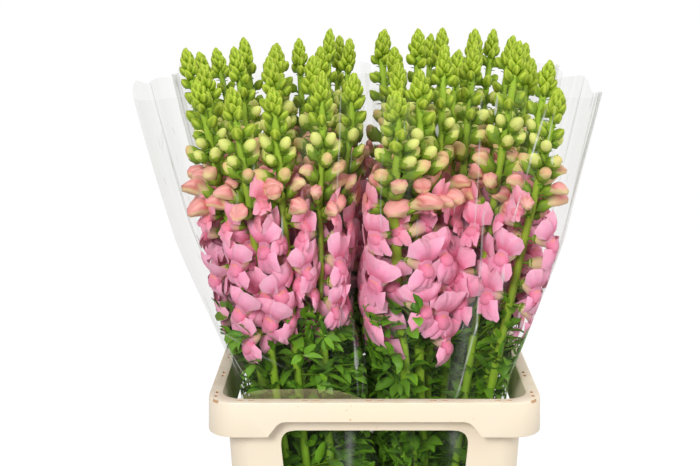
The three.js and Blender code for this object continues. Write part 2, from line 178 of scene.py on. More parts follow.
class Finish:
    """One material, made node by node."""

    def __init__(self, name):
        self.material = bpy.data.materials.new(name)
        self.material.use_nodes = True
        self.tree = self.material.node_tree
        self.tree.nodes.clear()
        self.output = self.tree.nodes.new("ShaderNodeOutputMaterial")

    def node(self, kind, settings, values):
        """A node of that kind, its settings first, then its sockets' values or links. Returns its outputs."""
        made = self.tree.nodes.new(kind)
        for key, value in settings.items():
            setattr(made, key, value)
        for key, value in values.items():
            if isinstance(value, Signal):
                self.tree.links.new(value.socket, made.inputs[key])
            elif value is not None:
                made.inputs[key].default_value = value
        return [Signal(self, s) for s in made.outputs]

    def place(self):
        """The point, as its object's own coordinates."""
        return self.node("ShaderNodeTexCoord", {}, {})[3]

    def axes(self):
        """The point's X, Y and Z, in metres."""
        return self.node("ShaderNodeSeparateXYZ", {}, {0: self.place()})

    def noise(self, scale, detail=3.0, stretch=None):
        """Noise from 0 to 1; scale is in patterns a metre, and stretch multiplies it along X, Y and Z."""
        where = self.place()
        if stretch:
            where = self.node("ShaderNodeMapping", {}, {"Vector": where, "Scale": stretch})[0]
        return self.node("ShaderNodeTexNoise", {}, {"Vector": where, "Scale": scale, "Detail": detail})[0]

    def mix(self, low, high, share, blend="MIX"):
        """Colour low to colour high by a share."""
        settings = {"data_type": "RGBA", "blend_type": blend}
        return self.node("ShaderNodeMix", settings, {0: share, 6: rgba(low), 7: rgba(high)})[2]

    def grey(self, value):
        """A number as a grey colour."""
        return self.node("ShaderNodeCombineColor", {}, {0: value, 1: value, 2: value})[0]

    def tint(self):
        """The colour and the alpha that the mesh carries on its points."""
        found = self.node("ShaderNodeAttribute", {"attribute_name": "tint"}, {})
        return found[0], found[3]

    def bump(self, height, strength, distance):
        """A normal that leans as a relief of that height would have it."""
        values = {"Height": height, "Strength": strength, "Distance": distance}
        return self.node("ShaderNodeBump", {}, values)[0]

    def surface(self, **values):
        """The Principled shader; the names of its sockets have _ for a space."""
        named = {key.replace("_", " "): value for key, value in values.items()}
        return self.node("ShaderNodeBsdfPrincipled", {}, named)[0]

    def done(self, shader):
        """The material, with that shader on its surface."""
        self.tree.links.new(shader.socket, self.output.inputs[0])
        return self.material


def rgba(colour):
    """A colour as a socket takes it; a signal stays as it is."""
    return colour if isinstance(colour, Signal) else (*colour, 1)


def cream_plastic():
    """Cream moulded plastic: faint mottling, tan specks, a top painted paler as painted light and scuffed, and the
    rim's pockets coloured darker tan.

    The pockets lie 5.3 to 9.3 mm inside the rim's outline, just below its top."""
    f = Finish("cream_plastic")
    x, y, z = f.axes()
    top = z.above((RIM_TOP - 1.2) / 1000, (RIM_TOP - 0.4) / 1000)
    scuffs = f.noise(60, 4).above(0.42, 0.70)
    outside = x.math("MAXIMUM", x.size() - RIM_WIDTH / 2000, y.size() - RIM_DEPTH / 2000)
    pocket = outside.band(-9.4, -9.2, -5.4, -5.2) * z.band(RIM_TOP - 3, RIM_TOP - 2, RIM_TOP - 0.35, RIM_TOP - 0.2)
    colour = f.mix(CREAM, CREAM_WARM, f.noise(9).above(0.35, 0.75))
    colour = f.mix(colour, TAN_SPECK, f.noise(260, 1).above(0.755, 0.80) * 0.55)
    # Painted light: the rim's top is painted paler, standing in for the light that falls on it.
    colour = f.mix(colour, CREAM_TOP_PAINTED_LIGHT, top * 0.7)
    colour = f.mix(colour, CREAM_SCUFFED, top * scuffs * 0.35)
    # The pockets in the rim's top are coloured darker tan.
    colour = f.mix(colour, POCKET_TAN, pocket * 0.85)
    return f.done(f.surface(
        Base_Color=colour,
        Roughness=0.36 + f.noise(30) * 0.16,
        Normal=f.bump(f.noise(420, 2), 0.08, 0.0004),
        Specular_IOR_Level=0.45,
        Subsurface_Weight=0.05,
        Subsurface_Radius=(0.006, 0.004, 0.002),
    ))


def greenery_finish():
    """Leaves, stems and buds: the tint on the mesh, cloudy, glossier where its alpha is high."""
    f = Finish("snapdragon_green")
    tint, shine = f.tint()
    cloud = f.noise(70, 4)
    fine = f.noise(900, 2)
    shade = 0.80 + cloud * 0.30 + fine * 0.14
    return f.done(f.surface(
        Base_Color=f.mix(tint, f.grey(shade), 1.0, "MULTIPLY"),
        Roughness=(0.64 - shine * 0.30 + cloud * 0.08).clipped(),
        Normal=f.bump(f.noise(700, 3), 0.30, 0.0004),
        Subsurface_Weight=0.06,
        Subsurface_Radius=(0.002, 0.003, 0.001),
        Specular_IOR_Level=0.28,
    ))


def petal_finish():
    """Pink petals: the tint on the mesh with soft clouds and a fine crumpled relief."""
    f = Finish("snapdragon_petal")
    tint = f.tint()[0]
    cloud = f.noise(55, 3)
    veins = f.noise(330, 2, (1, 1, 0.35))
    shade = 0.80 + cloud * 0.26 + veins * 0.12
    return f.done(f.surface(
        Base_Color=f.mix(tint, f.grey(shade), 1.0, "MULTIPLY"),
        Roughness=0.58 + cloud * 0.10,
        Normal=f.bump(f.noise(170, 4), 0.5, 0.0014),
        Subsurface_Weight=0.18,
        Subsurface_Radius=(0.004, 0.0015, 0.002),
        Sheen_Weight=0.15,
        Specular_IOR_Level=0.3,
    ))


def glint(x, z, top, foot, width):
    """A painted highlight along a thin fold, straight from top to foot, (x, z) in millimetres; 1 in its middle."""
    slope = (foot[0] - top[0]) / (foot[1] - top[1])
    away = x - (z - top[1] / 1000) * slope - top[0] / 1000
    line = (1 - away.size() * (1000 / width)).clipped()
    return line * z.band(foot[1] - 16, foot[1], top[1], top[1] + 4)


def film_finish():
    """Clear film: nearly all light goes through. A low angle mixes in a little of a grey glossy layer, and a crease
    more, partly its own gloss and partly a painted sheen along the fold.

    The tint's red is a crease, its green the film between two bunches, and its blue a doubled, yellowed fold.
    Streaks, noise drawn out along Z, and glints are painted white highlights. Only the film at the front has glints."""
    f = Finish("clear_film")
    crease, inner, fold = f.node("ShaderNodeSeparateColor", {}, {0: f.tint()[0]})
    x, y, z = f.axes()
    edge_on = f.node("ShaderNodeLayerWeight", {}, {0: 0.35})[1]
    broken = f.noise(14, 3).above(0.42, 0.62)
    streaks = f.noise(120, 1, (1, 1, 0.012)).above(0.71, 0.73) * f.noise(9, 2).above(0.42, 0.58)
    bent = x + (f.noise(18, 1) - 0.5) * 0.004
    glints = 0
    for top, foot, width, strength in GLINTS:
        glints = glint(bent, z, top, foot, width) * strength + glints
    front = 1 - y.above(-0.12, -0.10)
    # Painted highlights: the glossy layer turns white along the streaks and glints.
    white = (streaks * 0.6 + glints * front * f.noise(26, 2).above(0.30, 0.52)).clipped()
    through = f.node("ShaderNodeBsdfTransparent", {}, {"Color": (0.97, 0.97, 0.962, 1)})[0]
    gloss = f.surface(
        Base_Color=f.mix(f.mix(FILM_GREY, FILM_YELLOWED, fold), FILM_GLINT, white),
        Roughness=0.10,
        Specular_IOR_Level=0.8,
        Normal=f.bump(f.noise(35, 3, (1, 1, 0.25)), 0.35, 0.004),
    )
    # Creases raise the glossy layer's share, a painted sheen along the folds.
    share = edge_on * 0.14 + crease * broken * 0.14 + white * 0.70 + fold * 0.20
    share = (share * (1 - inner * 0.7)).clipped()
    return f.done(f.node("ShaderNodeMixShader", {}, {0: share, 1: through, 2: gloss})[0])


def water_finish():
    """Clear water with a faint ripple."""
    f = Finish("clear_water")
    return f.done(f.surface(
        Base_Color=(0.80, 0.88, 0.86, 1), Roughness=0.03, IOR=1.33, Transmission_Weight=0.9,
        Normal=f.bump(f.noise(40, 2), 0.1, 0.002),
    ))


def rubber_finish():
    """Tan rubber with a dusty bloom."""
    f = Finish("tan_rubber")
    bloom = f.noise(300, 3)
    return f.done(f.surface(
        Base_Color=f.mix(RUBBER_DARK, RUBBER_LIGHT, bloom),
        Roughness=0.55 + bloom * 0.2, Normal=f.bump(bloom, 0.2, 0.0003),
    ))


# ---------------------------------------------------------------- meshes

class Growth:
    """Grids of points gathered into one mesh, with a colour on each point. A room, if given, moves the points."""

    def __init__(self, room=None):
        self.room = room
        self.points, self.faces, self.tints, self.count = [], [], [], 0

    def grid(self, points, tint, shine=0.0, around=True):
        """Adds n surfaces of u by v points, an array (n, u, v, 3). Quads join neighbours; around closes them in u.

        The quads face the way that gives the first surface a positive volume."""
        points = self.room(points) if self.room else points
        n, nu, nv, _ = points.shape
        index = np.arange(nu * nv).reshape(nu, nv)
        if around:
            index = np.vstack([index, index[:1]])
        quads = np.stack([index[:-1, :-1], index[1:, :-1], index[1:, 1:], index[:-1, 1:]], -1).reshape(-1, 4)
        first = points[0].reshape(-1, 3)
        a, b, c, d = (first[quads[:, k]] - first.mean(0) for k in range(4))
        volume = (a * np.cross(b, c)).sum() + (a * np.cross(c, d)).sum()
        if volume < 0:
            quads = quads[:, ::-1]
        starts = self.count + np.arange(n)[:, None, None] * nu * nv
        self.faces.append((quads[None] + starts).reshape(-1, 4))
        self.points.append(points.reshape(-1, 3))
        colours = np.empty((n, nu, nv, 4))
        colours[..., :3] = tint
        colours[..., 3] = shine
        self.tints.append(colours.reshape(-1, 4))
        self.count += n * nu * nv

    def mesh(self, name, finish, sharp=70):
        """One mesh in metres: points that coincide are joined, so poles and seams close."""
        points, faces = np.vstack(self.points), np.vstack(self.faces)
        kept, first, where = np.unique(np.round(points, 3), axis=0, return_index=True, return_inverse=True)
        quads = where.reshape(-1)[faces]
        same = quads == np.roll(quads, -1, axis=1)
        whole = quads[~same.any(1)]
        single = same.sum(1) == 1
        tris = [np.delete(quads[single & same[:, k]], k, axis=1) for k in range(4)]
        tris = np.vstack(tris)
        tris = tris[(tris[:, 0] != tris[:, 1]) & (tris[:, 1] != tris[:, 2]) & (tris[:, 2] != tris[:, 0])]
        whole = whole[(whole[:, 0] != whole[:, 2]) & (whole[:, 1] != whole[:, 3])]
        data = bpy.data.meshes.new(name)
        data.from_pydata(kept / 1000, [], whole.tolist() + tris.tolist())
        tints = np.vstack(self.tints)[first].astype(np.float32)
        layer = data.color_attributes.new("tint", "FLOAT_COLOR", "POINT")
        layer.data.foreach_set("color", tints.ravel())
        data.polygons.foreach_set("use_smooth", np.ones(len(data.polygons), bool))
        data.set_sharp_from_angle(angle=math.radians(sharp))
        data.materials.append(finish)
        data.update()
        made = bpy.data.objects.new(name, data)
        bpy.context.scene.collection.objects.link(made)
        return made


def unit(vectors):
    """Vectors made one long."""
    return vectors / np.maximum(np.linalg.norm(vectors, axis=-1, keepdims=True), 1e-9)


def aimed(out, roll=0.0):
    """Right, up and outward unit vectors of n organs: up is as upright as out allows, then rolled about out."""
    out = unit(out)
    right = unit(np.cross(np.array([0.0, 0.0, 1.0]), out))
    up = np.cross(out, right)
    c, s = np.cos(roll), np.sin(roll)
    c, s = (np.broadcast_to(x, (len(out),))[:, None] for x in (c, s))
    return right * c + up * s, up * c - right * s, out


def placed(local, origin, axes):
    """Local (right, up, out) coordinates of n organs, carried to each one's origin and directions."""
    right, up, out = (a[:, None, None, :] for a in axes)
    return origin[:, None, None, :] + local[..., :1] * right + local[..., 1:2] * up + local[..., 2:] * out


def lens(sheets, thickness):
    """A closed thin body from an open sheet: both faces lie half the thickness off it, and meet at its border.

    The result runs once round in u: over the top face and back along the underside."""
    along_u, along_v = np.gradient(sheets, axis=1), np.gradient(sheets, axis=2)
    normals = unit(np.cross(along_u, along_v))
    nu, nv = sheets.shape[1:3]
    across = np.sin(np.linspace(0, np.pi, nu))[:, None] ** 0.5
    down = np.sin(np.linspace(0, np.pi, nv))[None, :] ** 0.5
    inside = (across * down)[None, ..., None] * thickness / 2
    inside[:, [0, -1]] = 0
    inside[:, :, [0, -1]] = 0
    top, under = sheets + normals * inside, sheets - normals * inside
    return np.concatenate([top, under[:, -2:0:-1]], axis=1)


def joined(x, y, z):
    """Coordinates of different shapes, spread to one shape and put together as points."""
    return np.stack(np.broadcast_arrays(x, y, z), -1)


def circle(count):
    """Angles at even steps round a circle."""
    return np.linspace(0, 2 * np.pi, count, endpoint=False)


def both_sides(values):
    """The values of a sheet's points, laid out as lens() lays out its points."""
    return np.concatenate([values, values[:, -2:0:-1]], axis=1)


def column(values):
    """Numbers for n organs, ready to be combined with (n, u, v) arrays."""
    return np.asarray(values, float)[:, None, None]


def turned(nu, nv, count=1):
    """Angles round a closed cross-section and shares along it, as (count, nu, nv) arrays."""
    share = np.linspace(0, 1, nv)[None, None, :]
    return np.broadcast_to(circle(nu)[None, :, None], (count, nu, nv)), np.broadcast_to(share, (count, nu, nv))


# ---------------------------------------------------------------- organs

def wrapped_buds(growth, origin, axes, length, radius, tan):
    """Green buds still wrapped in their sepals, an egg with four long folds, painted darker between them as painted
    shade and paler on them as painted highlight.

    The radius follows sin(pi share^0.86)^0.55; tan browns the tip."""
    angle, share = turned(8, 6, len(length))
    ridge = np.broadcast_to((np.arange(8) % 2 == 0)[None, :, None], angle.shape).astype(float)
    swell = np.sin(np.pi * share ** 0.86) ** 0.55 * (1 - 0.16 * share) * (0.93 + 0.13 * ridge)
    swell = np.where((share == 0) | (share == 1), 0, swell)
    r = column(radius)
    local = joined(r * swell * np.cos(angle), r * swell * np.sin(angle), column(length) * share)
    # Painted shade between the folds; painted highlight along the folds near the tip.
    tint = mixed(BUD_DARK, BUD_LIGHT, 0.10 + 0.50 * ridge + 0.40 * smooth((share - 0.1) / 0.7))
    tint = mixed(tint, BUD_RIDGE_HIGHLIGHT, 0.42 * ridge * smooth((share - 0.25) / 0.4))
    tint = mixed(tint, BUD_POINT, column(tan) * smooth((share - 0.80) / 0.2))
    growth.grid(placed(local, origin, axes), tint, 0.30)


def calyxes(growth, origin, axes, length, radius, opening, stalk):
    """Five sepals joined at the base: a cup on a stalk, its rim high at each sepal's point and low between.

    Rows go from the stalk's foot out over the cup to the rim and back inside to its bottom."""
    n, nu = len(length), 10
    angle = np.broadcast_to(circle(nu)[None, :, None], (n, nu, 1))
    sepal = np.broadcast_to((np.arange(nu) % 2 == 0)[None, :, None], (n, nu, 1)).astype(float)
    r, size, wide, pedicel = column(radius), column(length), column(opening), column(stalk)
    rows = [
        (0 * r, -pedicel),
        (0 * r + 1.2, -pedicel),
        (0 * r + 1.3, 0 * r - 0.2),
        (r, 0.32 * size),
        (r * (0.84 + 0.30 * wide) * (0.92 + 0.10 * sepal), size * (0.66 + 0.06 * sepal)),
        (r * (0.44 + 0.90 * wide) * (0.85 + 0.30 * sepal), size * (0.70 + 0.34 * sepal)),
        (0 * r, size * 0.30),
    ]
    across, along = (np.concatenate([np.broadcast_to(x, (n, nu, 1)) for x in part], 2) for part in zip(*rows))
    local = joined(across * np.cos(angle), across * np.sin(angle), along)
    # The cup's inner bottom row is darkest, a painted shade inside the cup.
    share = np.broadcast_to(np.array([0.5, 0.5, 0.4, 0.4, 0.7, 1, 0.1])[None, None], across.shape)
    tint = mixed(SEPAL_DARK, SEPAL_LIGHT, share * (0.5 + 0.5 * sepal))
    growth.grid(placed(local, origin, axes), tint, 0.25)


def closed_corollas(growth, origin, axes, length, radius, ripe):
    """Flower buds: a tube that swells to a rounded snout, with a hood folded down over its end from above.

    ripe goes from 0, a yellow-green ball, over 0.5, blushed at its end, to 1, long and salmon pink. The hood
    covers the snout where sin(angle) is above 0.12, or -0.18 when ripe, in scallops, stands out 20% from it, has a
    darker border, and is creased along its top, the crease darkened as painted shade. Towards its end and on the
    crests of its pleats the hood is painted paler, a painted highlight. Seven shallow pleats run along the tube."""
    angle, share = turned(14, 10, len(length))
    ripe, r, size = column(ripe), column(radius), column(length)
    grown = smooth((ripe - 0.15) / 0.5)
    early = np.sin(np.pi * share ** 0.9) ** 0.6
    end = np.sqrt(np.clip(1 - ((share - 0.70) / 0.30).clip(0) ** 2, 0, 1))
    late = (0.42 + 0.58 * smooth((share - 0.12) / 0.55)) * end
    swell = between(early, late, grown)
    edge = 0.12 - 0.30 * smooth((ripe - 0.6) / 0.4) + 0.16 * np.cos(6 * angle + 9 * ripe)
    cover = smooth((np.sin(angle) - edge + 0.25) / 0.5)
    cover = cover * smooth((share - 0.46 + 0.09 * np.cos(3 * angle + r)) / 0.18)
    hood, border = cover * grown, 4 * cover * (1 - cover) * grown
    crease = np.exp(-(np.cos(angle) / 0.22) ** 2) * (np.sin(angle) > 0) * smooth((share - 0.45) / 0.25) * grown
    pleat = np.cos(7 * angle + 2 * r) * smooth((share - 0.15) / 0.3) * grown
    swell = swell * (1 + 0.20 * hood) * (1 - 0.15 * crease) * (1 + 0.07 * pleat)
    swell = np.where((share == 0) | (share == 1), 0, swell)
    local = joined(
        r * swell * np.cos(angle) * (1 - 0.12 * grown),
        r * swell * np.sin(angle) - grown * (0.45 * r * smooth((share - 0.72) / 0.28) + 0.14 * size * share ** 2.5),
        size * share,
    )
    young = mixed(BALL_GREEN, BALL_YELLOW, np.clip(share * 1.4, 0, 1))
    tube = mixed(BALL_GREEN, TUBE_PEACH, smooth((share - 0.05) / 0.35))
    tube = mixed(tube, SALMON, (0.32 - 0.30 * pleat) * smooth((ripe - 0.5) / 0.5) * smooth((share - 0.25) / 0.4))
    # Painted highlight: the hood is paler towards its end and on the crests of its pleats.
    flap = mixed(SALMON, SALMON_HIGHLIGHT, 0.5 * smooth((share - 0.55) / 0.3) + 0.35 * pleat)
    tint = mixed(young, mixed(tube, flap, hood), grown + 0 * angle)
    # The hood's border is darker; the crease along its top is darkened as painted shade.
    tint = mixed(tint, SALMON_DEEP, np.clip(border + 0.6 * crease, 0, 1) * 0.75)
    blush = smooth((share - 0.62) / 0.25) * smooth((ripe - 0.05) / 0.3) * (1 - grown)
    growth.grid(placed(local, origin, axes), mixed(tint, SALMON, blush * 0.7), 0.15)


def leaves(growth, origin, axes, length, width, droop, tone):
    """Leaves: pointed ellipses, creased along the middle, bending down towards the tip. tone is 0 dark to 1 light."""
    across = np.array([-1.0, 0.0, 1.0])[None, :, None]
    share = np.array([0.0, 0.20, 0.5, 0.8, 1.0])[None, None, :]
    half = np.array([0.0, 0.74, 1.0, 0.66, 0.0])[None, None, :]
    n = len(length)
    size, wide, bend = column(length), column(width) / 2, column(droop)
    sheet = joined(
        wide * half * across,
        wide * half * np.abs(across) * 0.30 - size * bend * share ** 2,
        size * share * (1 - 0.25 * bend * share),
    )
    light = np.broadcast_to(0.50 * (np.abs(across) < 0.5) + 0.30 * share, (n, 3, 5))
    tint = both_sides(mixed(mixed(LEAF_DARK, LEAF_LIGHT, column(tone)), LEAF_LIGHT, 0.6 * light))
    tint[:, 3:] = 0.4 * tint[:, 3:] + 0.6 * LEAF_BACK
    growth.grid(placed(lens(sheet, 0.9), origin, axes), tint, 0.9)


def margin(u, table):
    """Points of a petal's edge, read from a table of [u, x, y] rows for the right half; the left mirrors it."""
    t = np.array(table, float)
    return np.sign(u) * np.interp(np.abs(u), t[:, 0], t[:, 1]), np.interp(np.abs(u), t[:, 0], t[:, 2])


UPPER_EDGE = [
    (0, 0, 16.4), (0.18, 4.4, 17.8), (0.42, 9.6, 18.4), (0.66, 14.6, 17.4), (0.84, 16.4, 11.5), (1, 13.0, 3.6),
]
LOWER_EDGE = [
    (0, 0, -20.5), (0.14, 3.4, -20.0), (0.30, 4.6, -15.0), (0.46, 7.6, -20.4), (0.64, 11.6, -19.2),
    (0.82, 12.6, -12.4), (1, 9.0, -4.0),
]


def upper_lips(growth, origin, axes, size, flare, fresh, vary):
    """The upper lip: one broad sheet of two lobes with a shallow notch, rising from the throat and bent back.

    Seen from the side each strip of it is an arc that leaves the throat at 48 degrees and turns to 58 + 66 flare.
    Its edge is waved by sin 7u and sin 12u, which grow with v^2.2. vary, three numbers a floret, tilts the lobes and
    bends their corners, so that no two are the same."""
    nu = 13
    u = np.linspace(-1, 1, nu)[None, :, None]
    v = np.linspace(0, 1, 5)[None, None, :]
    s, f = column(size), column(flare)
    a, b, c = (column(vary[:, k]) for k in range(3))
    edge_x, edge_y = margin(u, UPPER_EDGE)
    side = np.sign(u) * np.minimum(np.abs(u) * 4, 1)
    bow = np.sin(np.pi * np.clip(np.abs(u) * 1.1, 0, 1))
    wave = (np.sin(7 * u + 6 * b) + 0.7 * np.sin(12 * u + 9 * c)) * v ** 2.2
    pleat = np.cos(6 * np.pi * u)
    start = np.radians(48)
    turn = np.radians(10 + 66 * f * (1 + 0.30 * a * side)) * v
    reach = edge_y * 1.12 * (1 + 0.10 * c * side) * v / np.maximum(turn, 1e-3)
    x = 6.0 * u * (1 - v) + edge_x * v * (0.74 + 0.26 * f) * (1 + 0.08 * b * side)
    y = 1.5 + reach * (np.cos(start) - np.cos(start + turn)) + 0.9 * wave
    z = (14.0 + reach * (np.sin(start + turn) - np.sin(start)) + 2.4 * bow * v - 4.5 * f * u ** 2 * v ** 2
         + 1.8 * wave + 0.6 * pleat * v - 4.6 * c * np.clip(np.abs(u) - 0.5, 0, 1) * 2 * v ** 2 * side)
    sheet = s[..., None] * joined(x, y, z)
    flat = 0 * (u + s)
    # Painted shade: deeper pink at the lip's base by the throat. Towards the margin it is paler, partly the petal's
    # own colour and partly painted highlight, lighter still on the pleats' crests.
    inner = mixed(PINK_THROAT_SHADE, PINK, smooth((v + 0.05) / 0.6) * (0.80 + 0.20 * np.minimum(np.abs(u) * 5, 1)) + flat)
    tint = mixed(inner, PINK_PALE_AND_HIGHLIGHT, smooth((v - 0.4) / 0.5) * 0.7 + 0.12 * pleat * v + flat)
    tint = both_sides(tint)
    tint[:, nu:] = mixed(tint[:, nu:], PINK_BACK, 0.5 + 0 * tint[:, nu:, :, 0])
    growth.grid(placed(lens(sheet, 0.8), origin, axes), aged(tint, fresh))


def lower_lips(growth, origin, axes, size, flare, fresh, vary):
    """The lower lip: two broad side lobes and a smaller middle one, hanging from under the palate.

    Seen from the side it reaches out by 6.5 v and falls back by (3.5 + 6.5 flare) v^2; sin 13u waves its edge."""
    u = np.linspace(-1, 1, 15)[None, :, None]
    v = np.linspace(0, 1, 4)[None, None, :]
    s, f = column(size), column(flare)
    a, b, c = (column(vary[:, k]) for k in range(3))
    edge_x, edge_y = margin(u, LOWER_EDGE)
    side = np.sign(u) * np.minimum(np.abs(u) * 4, 1)
    wave = np.sin(13 * u + 5 * c) * v ** 2
    reach = v * (0.62 + 0.38 * f) * (1 + 0.12 * b * side)
    x = 5.0 * u * (1 - v) + edge_x * reach + 1.2 * a * v
    y = -6.0 * (1 - v) + edge_y * reach + 0.6 * wave
    z = 17.0 + 6.5 * v - (3.5 + 6.5 * f + 3.0 * b * side) * v ** 2 + 1.6 * wave
    sheet = s[..., None] * joined(x, y, z)
    flat = 0 * (u + s)
    # Painted shade: deeper pink at the lip's base under the palate. Towards the edge it is paler, partly the petal's
    # own colour and partly painted highlight.
    inner = mixed(PINK_THROAT_SHADE, PINK, smooth((v + 0.30) / 0.7) + flat)
    tint = mixed(inner, PINK_PALE_AND_HIGHLIGHT, smooth((v - 0.4) / 0.6) * 0.55 + flat)
    growth.grid(placed(lens(sheet, 0.8), origin, axes), aged(both_sides(tint), fresh))


def palates(growth, origin, axes, size, fresh):
    """The swollen cushion that shuts the throat: two rounded halves with a groove between, yellow on its brow.

    A dome, cos^0.6 wide and sin high, on an outline with five faint lobes and a groove that is 30% deep."""
    angle, share = turned(10, 5, len(size))
    s = column(size)
    dome = np.sin(np.pi / 2 * share)
    ring = np.where(share == 1, 0, np.cos(np.pi / 2 * share) ** 0.6)
    ring = np.where(share == 0, 0.92, ring)
    groove = 1 - 0.30 * np.exp(-(np.cos(angle) / 0.35) ** 2)
    local = s[..., None] * joined(
        7.6 * ring * np.cos(angle) * (1 + 0.06 * np.cos(5 * angle)),
        -4.6 + 7.0 * ring * np.sin(angle) * groove,
        13.5 + 6.6 * dome * (0.80 + 0.20 * groove) - 2.0 * ring * np.sin(angle),
    )
    start = local[:, :, :1].mean(axis=1, keepdims=True) - np.array([0, 0, 2.0])
    local = np.concatenate([np.broadcast_to(start, local[:, :, :1].shape), local], axis=2)
    angle, share = (np.concatenate([x[:, :, :1], x], axis=2) for x in (angle, share))
    # Painted shade: darker towards the dome's foot and in its groove.
    tint = mixed(PALATE_SHADE, PALATE, 0.25 + 0.6 * share - 0.5 * np.exp(-(np.cos(angle) / 0.2) ** 2) * (share < 0.9))
    brow = smooth((np.sin(angle) - 0.75) / 0.25) * np.exp(-((share - 0.38) / 0.16) ** 2)
    tint = aged(mixed(tint, SPOT_YELLOW, brow * 0.65), fresh)
    growth.grid(placed(local, origin, axes), tint)


def tubes(growth, origin, axes, size, fresh):
    """The floret's tube, from the calyx to the throat, flattened a little, closed at both ends."""
    angle = np.broadcast_to(circle(8)[None, :, None], (len(size), 8, 5))
    share = np.array([0.0, 0.0, 0.45, 1.0, 1.0])[None, None, :]
    radius = np.array([0.0, 3.2, 5.2, 6.4, 0.0])[None, None, :]
    s = column(size)
    local = s[..., None] * joined(radius * np.cos(angle), radius * np.sin(angle) * 1.05 - 1.6 * share, 15.5 * share)
    tint = mixed(TUBE_PEACH, PINK_BACK, smooth((share - 0.25) / 0.7) + 0 * angle)
    growth.grid(placed(local, origin, axes), aged(tint, fresh))


def aged(tint, fresh):
    """Florets that have only just opened are nearer to salmon; fresh is 1 for those and 0 for the oldest."""
    share = np.broadcast_to(column(smooth(np.asarray(fresh))) * 0.6, tint.shape[:-1])
    return mixed(tint, tint * 0.35 + SALMON * 0.70, share)


# ---------------------------------------------------------------- one plant

class Plant:
    """Where a plant stands, read from its solid: the middles of its foot and of its tip."""

    def __init__(self, number, node, side):
        corners = np.array([v.co for v in node.data.vertices]) * 1000
        top, bottom = corners[:, 2].max(), corners[:, 2].min()
        self.tip = corners[corners[:, 2] > top - 0.1].mean(0)
        self.foot = corners[corners[:, 2] < bottom + 0.1].mean(0)
        self.number, self.height, self.bottom, self.side = number, top, bottom, np.array(side, float)
        self.turn = number * GOLDEN_TURN
        grown = (self.height - SHORTEST) / (TALLEST - SHORTEST)
        self.buds = SHORTEST_BUDS + (TALLEST_BUDS - SHORTEST_BUDS) * grown
        self.floret_top = self.height - self.buds
        self.random = np.random.default_rng(4100 + number)

    def axis(self, z):
        """The middle of the stem at heights z: upright where it is bound, then straight out to the tip."""
        z = np.asarray(z, float)
        share = np.clip((z - TIE_HEIGHT) / (self.height - TIE_HEIGHT), 0, None) ** 1.2
        flat = self.foot[:2] + (self.tip - self.foot)[:2] * share[..., None]
        return np.concatenate([flat, z[..., None]], -1)

    def radius(self, z):
        """Thicker towards the foot, and thin inside the head."""
        below = self.height - np.asarray(z, float)
        return (3.3 + 0.7 * np.clip(below / 220, 0, 1)) * (0.35 + 0.65 * smooth(below / (0.20 * self.buds)))

    def lean(self, z):
        """The stem's direction at heights z."""
        return unit(self.axis(np.asarray(z) + 1.0) - self.axis(z))

    def outwards(self, z, angle, rise):
        """Directions that leave the stem at an angle round it and rise from it, in radians."""
        along = self.lean(z)
        flat = np.stack([np.cos(angle), np.sin(angle), 0 * angle], -1)
        flat = unit(flat - along * (flat * along).sum(-1, keepdims=True))
        return flat * np.cos(rise)[:, None] + along * np.sin(rise)[:, None], flat

    def pressed(self, points):
        """Points near the film are drawn in so that none passes it, and none crosses to the next bunch.

        Along X and Y, the last 8 mm before the outer film and the last 7 mm before the inner film are approached
        exponentially. Last, the corners are rounded as the film's are: (|u|^4.5 + |v|^4.5)^(1/4.5) stays below
        0.985."""
        made = points.copy()
        outer, inner = (np.stack(sleeve_at(points[..., 2], *columns), -1) for columns in ((1, 2), (3, 4)))
        out = points[..., :2] * self.side
        limit, soft = outer - 2.5, 8.0
        near = limit - soft * np.exp(-np.clip(out - limit + soft, 0, None) / soft)
        out = np.where(out > limit - soft, near, out)
        limit, soft = inner + 0.8, 7.0
        near = limit + soft * np.exp(-np.clip(limit + soft - out, 0, None) / soft)
        out = np.where(out < limit + soft, near, out)
        made[..., :2] = out * self.side
        middle, half = (outer + inner) / 2 * self.side, (outer - inner) / 2
        share = (made[..., :2] - middle) / half
        far = (np.abs(share) ** ROUNDNESS).sum(-1, keepdims=True) ** (1 / ROUNDNESS)
        made[..., :2] = middle + share * half * np.minimum(1, 0.985 / np.maximum(far, 1e-6))
        return swayed(made)


def swayed(points):
    """Bends the planes between the four bunches into waves, so that the bunches lean into each other.

    Along X it is (17 sin(y/48 + z/90 + 1) + 3 sin(z/17 - y/41)) exp(-(x/42)^2), along Y the same with X and Y
    exchanged. It grows from the collar's foot, and is down to half of it in the heads."""
    x, y, z = points[..., 0], points[..., 1], points[..., 2]
    grown = smooth((z - 285) / 90) * (1 - 0.5 * smooth((z - 600) / 120))
    along_x = (17 * np.sin(y / 48 + z / 90 + 1) + 3 * np.sin(z / 17 - y / 41)) * np.exp(-(x / 42) ** 2)
    along_y = (14 * np.sin(x / 44 - z / 110) + 3 * np.sin(z / 19 + x / 37)) * np.exp(-(y / 42) ** 2)
    return np.stack([x + grown * along_x, y + grown * along_y, z], -1)


